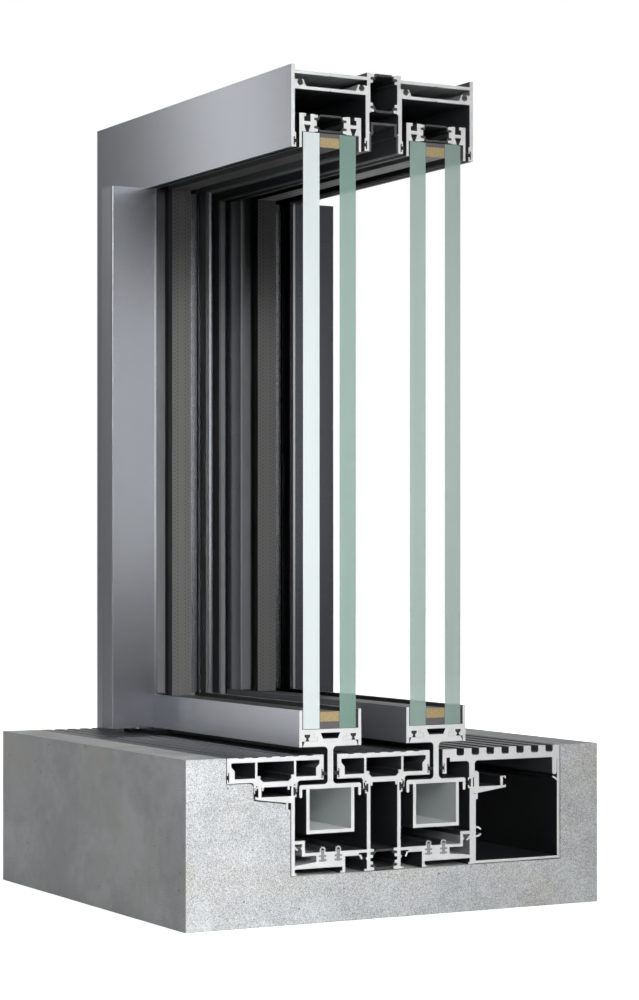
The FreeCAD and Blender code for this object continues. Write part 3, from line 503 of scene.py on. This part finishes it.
def dress_leaf(leaf, edge_tint, tips, channel, bar_tint):
    """Paints the aluminium of one leaf; tips are the marks for its outdoor leg tips."""
    outside = low(leaf + "_edge_frame_outside").y
    inside = high(leaf + "_edge_frame_inside").y
    front, back = plane_y(outside, -1), plane_y(inside, 1)
    edge = {"tint": edge_tint, "shade": INNER_SHADE, "upright": True}
    paint(profile_finish(leaf + " profile", [front, *[tip(outside) for tip in tips]], **edge),
          leaf + "_edge_frame_outside")
    paint(profile_finish(leaf + " inside", [back, towards_x], **edge),
          leaf + "_edge_frame_inside")
    paint(channel(leaf + " channel", front, back), leaf + "_glazing_channel")
    # The bar is coated above the floor and painted shade below it; its tint is darkened,
    # painted shade.
    paint(profile_finish(leaf + " pull bar", [above(FLOOR)], tint=toned(bar_tint, PULL_BAR_SHADE),
                         upright=True), leaf + "_pull_bar")
    middle = (outside + inside) / 2
    bottom, top = (low(leaf + "_carrier").z + height for height in BOX_INSIDE)
    box = (middle - BOX_HALF, middle + BOX_HALF, bottom, top)
    paint(profile_finish(leaf + " carrier", lit_mill_zones=[box], lit_mill_colour=LIT_TUBE_MILL), leaf + "_carrier")


def lit_satin_channel(name, front, back):
    """Glazing channel that is satin on both sides, in a lighter tint that is painted light."""
    return profile_finish(name, [front, back], tint=rgb("b6b9bf"), shade=INNER_SHADE)


def shaded_matt_channel(name, front, back):
    """Glazing channel that is matt outdoors, in a darker tint that is painted shade."""
    return profile_finish(name, [back], tint=rgb("808287"), shade=INNER_SHADE, matt=[front])


# The inner leaf's paler edges are painted light, and its darker channel and pull bar and its
# missing bright leg tip are painted shade.
dress_leaf("outer_leaf", SATIN, [leg_tip], lit_satin_channel, SATIN)
dress_leaf("inner_leaf", LIT_SATIN, [], shaded_matt_channel, SHADED_SATIN)

# %% [markdown]
# ## The sill
#
# The sill is sunk into the concrete: two tracks, trays and decks between them, and a box
# gutter under a slotted cover.  All of it lies below eye level and in shade, so nothing
# here is satin and its dark colours are painted shade.  Only beside its outer wall does
# the floor of each track get a bright strip of mill colour, painted light where light
# reaches it from the cut.

# %% Sill profiles
# Width and heights of the bright strips on the track floors, which are painted light.
FLOOR_STRIP = 16 * MM
FLOOR_ZONE = (TRACK_LOW + 5 * MM, TRACK_LOW + 16.5 * MM)
outdoor_lit_strip = (FRONT + WALL, FRONT + FLOOR_STRIP, *FLOOR_ZONE)
indoor_lit_strip = (BACK - FLOOR_STRIP, BACK - WALL, *FLOOR_ZONE)
paint(profile_finish("outer track", lit_mill_zones=[outdoor_lit_strip]), "outer_track")
paint(profile_finish("inner track", lit_mill_zones=[indoor_lit_strip]), "inner_track")
paint(profile_finish("deck tray"), "outer_deck_tray", "middle_deck_tray")
paint(profile_finish("deck", shade=rgb("46484b")),
      "outer_deck", "middle_deck", "drain_grate")
paint(profile_finish("drain", shade=rgb("202224")), "drain_channel")

# %% [markdown]
# ## Insulating strips, rubber and seals
#
# Polyamide strips separate the warm and the cold half of each profile.  They are grey
# and matt, with glass fibre in them, so their sawn face has a fine speckle.  Rubber is
# dark, as its sawn face shows, and elsewhere it gets a lighter colour, painted light that
# lifts it out of the shade where it lies.  One function with a colour for the body, a
# colour for the cut and a size of grain makes all of them.

# %% Small finishes
FINE_RELIEF = 0.01 * MM


def plain_finish(name, colour, cut_colour, rough, grain, depth=FINE_RELIEF):
    """One colour with a fine grain, and another on the sawn face."""
    finish = Finish(name, Roughness=rough)
    speckle = finish.noise(grain)
    body = finish.mixed(speckle, toned(colour, 0.7), colour)
    face = finish.mixed(speckle, toned(cut_colour, 0.85), cut_colour)
    return finish.feed(Base_Color=finish.mixed(finish.sawn(), body, face),
                       Normal=finish.bump(speckle, depth))


paint(plain_finish("polyamide", rgb("2e2e2f"), rgb("3a3b3c"), 0.7, 0.2 * MM),
      "sill_thermal_breaks", "head_thermal_breaks", "jamb_thermal_breaks",
      "outer_leaf_thermal_breaks", "inner_leaf_thermal_breaks")
paint(plain_finish("rail cores", rgb("4a4c4d"), rgb("8a8c8c"), 0.6, 0.2 * MM), "rail_cores")
# The rubber's body colour is lighter than its sawn face: painted light.
paint(plain_finish("rubber", rgb("505152"), rgb("1c1c1d"), 0.75, 0.3 * MM),
      "deck_seals", "outer_leaf_gaskets", "inner_leaf_gaskets")
paint(plain_finish("roller", rgb("303234"), rgb("303234"), 0.5, 0.5 * MM),
      "outer_leaf_roller_truck", "inner_leaf_roller_truck")
paint(plain_finish("edge seal", rgb("2c2c2d"), rgb("5a585a"), 0.7, 0.4 * MM, 0.02 * MM),
      "outer_leaf_edge_seal", "inner_leaf_edge_seal")

# %% [markdown]
# ## Running rails
#
# The rollers run on steel strips, drawn bright along their length.  Fine lines that are
# fifty times as long as they are wide make the drawn look, in the colour and as a relief.

# %% Rail steel
rails = Finish("rail steel", Roughness=0.3)
lines = rails.noise(0.2 * MM, 2, rails.joined(rails.x * 0.02, rails.y, rails.z))
steel = rails.mixed(lines, rgb("8f9496"), rgb("b5babb"))
rails.feed(Base_Color=rails.mixed(rails.sawn(), steel, rgb("b4b6b6")),
           Metallic=rails.blend(rails.sawn(), 0.9, 0.0),
           Normal=rails.bump(lines, 0.003 * MM))
paint(rails, "running_rails")

# %% [markdown]
# ## Glass
#
# Float glass is clear through its face and green through its edge, because light that
# reaches the edge has crossed far more of it.  The cut edge is therefore a shader of its
# own, pale and nearly opaque, and the sawn mask picks it.  The faces are almost wholly
# see-through and bend no light, so that lamps reach what lies behind a pane.  Of the four
# panes the first catches the most light, so the edge of each gets its own colour, painted
# light that is lightest on the first.

# %% Glass
FACE_ALPHA = 0.06
FACE_TINT = (0.985, 0.995, 0.99, 1)
EDGE_ROUGH = 0.35
STREAK = 5 * MM


def glass_finish(name, edge, cover):
    """Clear glass with a coloured cut edge that hides the share cover of what is behind."""
    finish = Finish(name, Roughness=0.0, IOR=1.0, Transmission_Weight=1.0, Alpha=FACE_ALPHA,
                    Base_Color=FACE_TINT)
    streak = finish.noise(STREAK, 2, finish.joined(0.0, finish.y, finish.z * 0.08))
    tone = finish.mixed(streak, toned(edge, 0.97), toned(edge, 1.03))
    edge_shader = finish.add("ShaderNodeBsdfPrincipled", {},
                             {"Base Color": tone, "Roughness": EDGE_ROUGH, "Alpha": cover})
    clear = Wire(finish, finish.shader.outputs[0])
    surface = finish.add("ShaderNodeMixShader", {},
                         {0: finish.sawn(), 1: clear, 2: edge_shader})
    finish.links.new(surface.socket, finish.nodes["Material Output"].inputs["Surface"])
    return finish


# The edge colours differ only by painted light; the first pane's edge is the lightest.
paint(glass_finish("glass 1", rgb("d8e2e1"), 0.86), "outer_leaf_pane_outside")
paint(glass_finish("glass 2", rgb("78958b"), 0.88), "outer_leaf_pane_inside")
paint(glass_finish("glass 3", rgb("8aa199"), 0.88), "inner_leaf_pane_outside")
paint(glass_finish("glass 4", rgb("889c95"), 0.88), "inner_leaf_pane_inside")

# %% [markdown]
# ## Spacers
#
# A spacer is a folded metal strip with pin holes towards the cavity, in two pairs of
# rows, and it is filled with small tan beads that keep the air dry.  The beads show where
# it is sawn, between the two folds of the strip.  The holes could be cut in the mesh, but
# there are hundreds, each under a millimetre.  They are a pattern in the finish instead:
# a row repeats along the strip, and folding the depth about the cavity's middle makes one
# row into four.

# %% Spacer
HOLE_PITCH = 2.4 * MM
HOLE_RADIUS = 0.42 * MM
ROW_PAIR = 3.6 * MM
ROW_HALF = 0.95 * MM
BEAD = 0.7 * MM
FOLD = 0.5 * MM


def holes(finish, away):
    """1 in a pin hole; away is the depth measured from the cavity's middle."""
    along = finish.blend(abs(finish.facing()[2]) > 0.5, finish.z, finish.x)
    fold = away - ROW_PAIR
    shifted = along / HOLE_PITCH + 0.5 * (fold > 0.0)
    beside = (shifted.fraction() - 0.5) * HOLE_PITCH
    off = abs(fold) - ROW_HALF
    return beside * beside + off * off < HOLE_RADIUS ** 2


def spacer_finish(name, strip, underside_light):
    """Perforated spacer of this node, with painted light on the faces that look down and
    painted shade on those that look up.
    """
    finish = Finish(name, Roughness=0.5)
    front, back = low(strip).y, high(strip).y
    away = abs(finish.y - (front + back) / 2)
    facing = finish.facing()[2]
    skin = finish.mixed(finish.noise(0.5 * MM), rgb("484847"), rgb("545453"))
    # Faces that look down get painted light and faces that look up painted shade.
    underside_lit_skin = finish.mixed(facing < -0.5, skin, underside_light)
    top_shaded_skin = finish.mixed(facing > 0.5, underside_lit_skin, rgb("3a3a39"))
    # A pin hole is given a dark colour, painted shade inside the hole.
    pierced = finish.mixed(holes(finish, away), top_shaded_skin, rgb("232422"))
    beads = finish.mixed(finish.cells(BEAD), rgb("b39d70"), rgb("86754f"))
    section = finish.mixed(away > (back - front) / 2 - FOLD, beads, rgb("6f6f6b"))
    return finish.feed(Base_Color=finish.mixed(finish.sawn(), pierced, section))


# The two spacers are alike; only the painted light on their undersides differs.
paint(spacer_finish("outer_leaf spacer", "outer_leaf_spacer", rgb("4a4a4a")),
      "outer_leaf_spacer")
paint(spacer_finish("inner_leaf spacer", "inner_leaf_spacer", rgb("a2a3a3")),
      "inner_leaf_spacer")

# %% [markdown]
# ## Concrete
#
# The block is fair-faced concrete: a pale cement skin, cloudy where it dried unevenly and
# a little warmer in places, with dark and light grains of sand all over and a few open
# pores.  A picture of concrete would repeat or end at an edge, and noise in space does
# neither.  Broad noise gives the clouds, and fine noise cut off at both ends the grains.

# %% Cement skin
concrete = Finish("concrete", Roughness=0.85)
cloud = concrete.noise(70 * MM, 7, rough=0.62)
blotch = concrete.noise(7 * MM, 4, rough=0.6)
dried = (0.75 * cloud + 0.25 * blotch).ramp(0.38, 0.62)
skin = concrete.mixed(dried, rgb("adb0b1"), rgb("c9cccd"))
damp = concrete.noise(80 * MM, 2).ramp(0.56, 0.59, 0.0, 0.25)
stained = concrete.mixed(damp, skin, rgb("8f9192"))
yellowed = concrete.noise(60 * MM).ramp(0.5, 0.66, 0.0, 0.4)
warm = concrete.mixed(yellowed, stained, rgb("bbb6a8"))
print("nodes for the cement skin:", len(concrete.nodes))

# %% Sand and pores
PORE_SPACING = 10 * MM
PORE_SHARE = 0.055
ROUGHCAST = 0.22 * MM
sand = concrete.noise(0.5 * MM, 3, rough=0.6)
grains = concrete.mixed(sand.ramp(0.5, 0.38, 0.0, 0.6), warm, rgb("606365"))
sparks = concrete.mixed(sand.ramp(0.53, 0.64, 0.0, 0.6), grains, rgb("e6e8e8"))
# A pore is coloured dark, painted shade inside it, and also sunk as relief.
shaded_pore = concrete.cells(PORE_SPACING) < PORE_SHARE
concrete.feed(Base_Color=concrete.mixed(shaded_pore, sparks, rgb("5d5f60")),
              Normal=concrete.bump(sand * 0.5 + blotch * 0.4 - shaded_pore, ROUGHCAST))
paint(concrete, "concrete_base")

# %% [markdown]
# ## Brush seals
#
# Head and jamb touch the leaves only with brushes: a woven backing slides into the slot
# of the profile, and a dense pile stands on it.  The solids in the frame give the room
# that each strip fills.  Single hairs would be far too many, and tufts read the same.  A
# strip is modelled as by hand: a grid is extruded to the backing, the cells of its two
# middle rows are inset and drawn out to tufts, and the tips are moved a little at random,
# since a pile that is cut by machine is still never quite even.

# %% Where the strips lie
SLOT_GAP = 5 * MM


def strips(node):
    """Lowest and highest corner of each strip of a brush node, outdoors first."""
    points = sorted((v.co for v in bpy.data.objects[node].data.vertices), key=lambda p: p.y)
    groups = [[points[0]]]
    for point in points[1:]:
        if point.y - groups[-1][-1].y > SLOT_GAP:
            groups.append([])
        groups[-1].append(point)
    return [(Vector([min(p[i] for p in group) for i in range(3)]),
             Vector([max(p[i] for p in group) for i in range(3)])) for group in groups]


for node in ("head_brush_seals", "jamb_brush_seals"):
    print(node, [tuple(round(v / MM, 1) for v in (b - a)) for a, b in strips(node)])

# %% Tuft strip
TUFT_PITCH = 1.25 * MM
TUFT_GAP = 0.08 * MM
ROWS = 4
BACKING = 0.7 * MM
LOOSE_TIP = 0.2 * MM


def choose(piece, test):
    """Selects the faces whose centre and normal pass the test, in edit mode."""
    bpy.ops.mesh.select_all(action="DESELECT")
    bpy.ops.object.mode_set(mode="OBJECT")
    for face in piece.data.polygons:
        face.select = test(face.center, face.normal)
    bpy.ops.object.mode_set(mode="EDIT")


def tuft_strip(length, width, height):
    """A brush strip along X whose backing lies at z = 0 and whose tufts stand up in z."""
    bpy.ops.object.select_all(action="DESELECT")
    bpy.ops.mesh.primitive_grid_add(x_subdivisions=int(length / TUFT_PITCH),
                                    y_subdivisions=ROWS, size=1)
    strip = bpy.context.object
    strip.scale = (length, width, 1)
    bpy.ops.object.transform_apply(location=True, rotation=True, scale=True)
    bpy.ops.object.mode_set(mode="EDIT")
    bpy.ops.mesh.select_mode(type="FACE")
    bpy.ops.mesh.select_all(action="SELECT")
    bpy.ops.mesh.extrude_region_move(TRANSFORM_OT_translate={"value": (0, 0, BACKING)})
    bpy.ops.mesh.select_all(action="SELECT")
    bpy.ops.mesh.normals_make_consistent(inside=False)
    choose(strip, lambda at, way: way.z > 0.5 and abs(at.y) < width / 4)
    bpy.ops.mesh.inset(thickness=TUFT_GAP, use_individual=True)
    rise = height - BACKING - LOOSE_TIP - TUFT_GAP
    bpy.ops.mesh.extrude_faces_move(TRANSFORM_OT_shrink_fatten={"value": rise})
    bpy.ops.transform.vertex_random(offset=LOOSE_TIP, uniform=0.0, normal=0.0, seed=7)
    bpy.ops.object.mode_set(mode="OBJECT")
    return strip


print("tufts are", round((TUFT_PITCH - 2 * TUFT_GAP) / MM, 2), "mm long at their foot")


# %% Brushes of head and jamb
def brush(name, node, along, across):
    """All strips of a node, each turned so that its pile points at a leaf.

    along and across number the axes of the frame that a strip is long and wide in.
    """
    made = []
    for number, (start, end) in enumerate(strips(node)):
        way = 1 if number % 2 == 0 else -1
        size = end - start
        strip = tuft_strip(size[along], size[across], size.y)
        turn = Matrix.Identity(4)
        for axis in range(3):
            turn[axis][0] = 1.0 if axis == along else 0.0
            turn[axis][1] = 1.0 if axis == across else 0.0
            turn[axis][2] = float(way) if axis == 1 else 0.0
        middle = (start + end) / 2
        middle.y = start.y if way > 0 else end.y
        strip.data.transform(Matrix.Translation(middle) @ turn)
        if turn.determinant() < 0:
            strip.data.flip_normals()
        made.append(strip)
    for strip in made:
        strip.select_set(True)
    bpy.context.view_layer.objects.active = made[0]
    bpy.ops.object.join()
    made[0].name = name
    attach(made[0], "frame")
    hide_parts(node)
    print(name, "has", len(made), "strips and", len(made[0].data.polygons), "faces")


brush("head_brushes", "head_brush_seals", along=0, across=2)
brush("jamb_brushes", "jamb_brush_seals", along=2, across=0)
pile = plain_finish("brush pile", rgb("1b1b1c"), rgb("242425"), 0.9, 0.2 * MM, 0.02 * MM)
paint(pile, "head_brushes", "jamb_brushes", "head_brush_seals", "jamb_brush_seals")

# %% [markdown]
# ## Studio floor
#
# The photograph has a white ground that no horizon divides.  A white floor under lamps
# would turn grey at its far end, so the floor glows for rays that come straight from the
# camera or through glass, and takes light and shadow as a matt floor for all others.
# Metal that mirrored the whole glow would lose its shape, so a mirror sees little of it.

# %% Floor
FLOOR_SIZE = 12
BELOW = 0.5 * MM
MIRRORED_FLOOR = 0.12
GLOW = 0.92

bpy.ops.object.select_all(action="DESELECT")
bpy.ops.mesh.primitive_plane_add(size=FLOOR_SIZE, location=(0, 0, -BELOW))
floor = bpy.context.object
floor.name = "floor"
ground = Finish("ground", Roughness=0.9, Base_Color=(0.9, 0.9, 0.9, 1),
                Emission_Strength=1.0)


def seen_directly(tree):
    """1 for rays from the camera, from a mirror and through glass, before they scatter."""
    straight = tree.ray("Is Camera Ray") | tree.ray("Is Glossy Ray")
    return (straight | tree.ray("Is Transmission Ray")) * (tree.ray("Diffuse Depth") < 0.5)


mirrored = ground.ray("Glossy Depth") > 0.5
lit = seen_directly(ground) * ground.blend(mirrored, 1.0, MIRRORED_FLOOR)
ground.feed(Emission_Color=ground.mixed(GLOW * lit, (0, 0, 0, 1), (1, 1, 1, 1)))
floor.data.materials.append(ground.material)
print("floor", FLOOR_SIZE, "m wide,", BELOW / MM, "mm below the block")

# %% [markdown]
# ## What the metal mirrors
#
# Satin metal shows its surroundings as soft gradients.  The world is white behind the
# object and dark on the near side, with a smooth step between, and faces that turn from
# one to the other shade off as they do in the photograph.  For all other light it is
# dim, and so the lamps decide which side is bright.

# %% World
SKY_LIGHT = 0.09
NEAR_SIDE = 0.2
WHITE_FROM, WHITE_TO = 0.75, 0.97
FAR_WAY = (-0.876, 0.482, 0.0)

world = bpy.data.worlds.new("studio")
world.use_nodes = True
bpy.context.scene.world = world
sky = Tree(world.node_tree)
background = sky.nodes["Background"]
background.inputs["Color"].default_value = (1, 1, 1, 1)
generated = sky.add("ShaderNodeTexCoord", output="Generated")
toward = sky.add("ShaderNodeVectorMath", {"operation": "DOT_PRODUCT"},
                 {0: generated, 1: FAR_WAY}, output="Value")
wall = toward.ramp(WHITE_FROM, WHITE_TO, NEAR_SIDE, 1.0)
seen = sky.blend(sky.ray("Glossy Depth") > 0.5, 1.0, wall)
strength = sky.blend(seen_directly(sky), SKY_LIGHT, seen)
sky.links.new(strength.socket, background.inputs["Strength"])
print("mirrored world from", NEAR_SIDE, "on the near side to 1.0 on the far side")

# %% [markdown]
# ## Lamps
#
# The key comes from the right and above in a narrow beam, so that it models the concrete
# and leaves the outdoor side in shade.  A fill in front lifts the sawn face, and a lamp
# behind keeps the indoor side readable when the object is turned.  Two cards give the
# bands of light in the satin metal: they are mirrored but throw no light on matt
# surfaces.  The outdoor card leans, because its band lies further left on the head than
# on the sill.

# %% Lamps
def soft_light(name, place, target, size, power, spread=180, roll=0):
    """A rectangular lamp at place that looks at target, rolled about its own axis."""
    data = bpy.data.lights.new(name, "AREA")
    data.shape = "RECTANGLE"
    data.size, data.size_y = size
    data.energy = power
    data.spread = math.radians(spread)
    lamp = bpy.data.objects.new(name, data)
    bpy.context.scene.collection.objects.link(lamp)
    lamp.location = place
    aim = Vector(target) - Vector(place)
    turn = aim.to_track_quat("-Z", "Y") @ Quaternion((0, 0, 1), math.radians(roll))
    lamp.rotation_euler = turn.to_euler()
    lamp.visible_camera = False
    print(name, "lamp,", power, "W from", round(aim.length, 2), "m")
    return lamp


soft_light("key", (2.0, -0.25, 0.95), (0.13, -0.36, 0.2), (0.7, 0.7), 3.15, spread=30)
soft_light("fill", (2.1, -1.3, 0.6), (0.0, -0.05, 0.25), (0.5, 0.5), 7.5)
soft_light("back", (-1.0, 2.2, 0.6), (0.0, 0.0, 0.25), (0.8, 0.8), 32)
cards = (
    soft_light("outdoor card", (-0.39, -0.33, 0.40), (0.05, -0.07, 0.40), (0.07, 0.66), 0.31,
               roll=8),
    soft_light("cut card", (0.36, 0.15, 0.3), (-0.06, -0.08, 0.3), (0.2, 0.24), 0.17),
)
for card in cards:
    card.visible_diffuse = False

bpy.context.scene.view_settings.view_transform = "Standard"
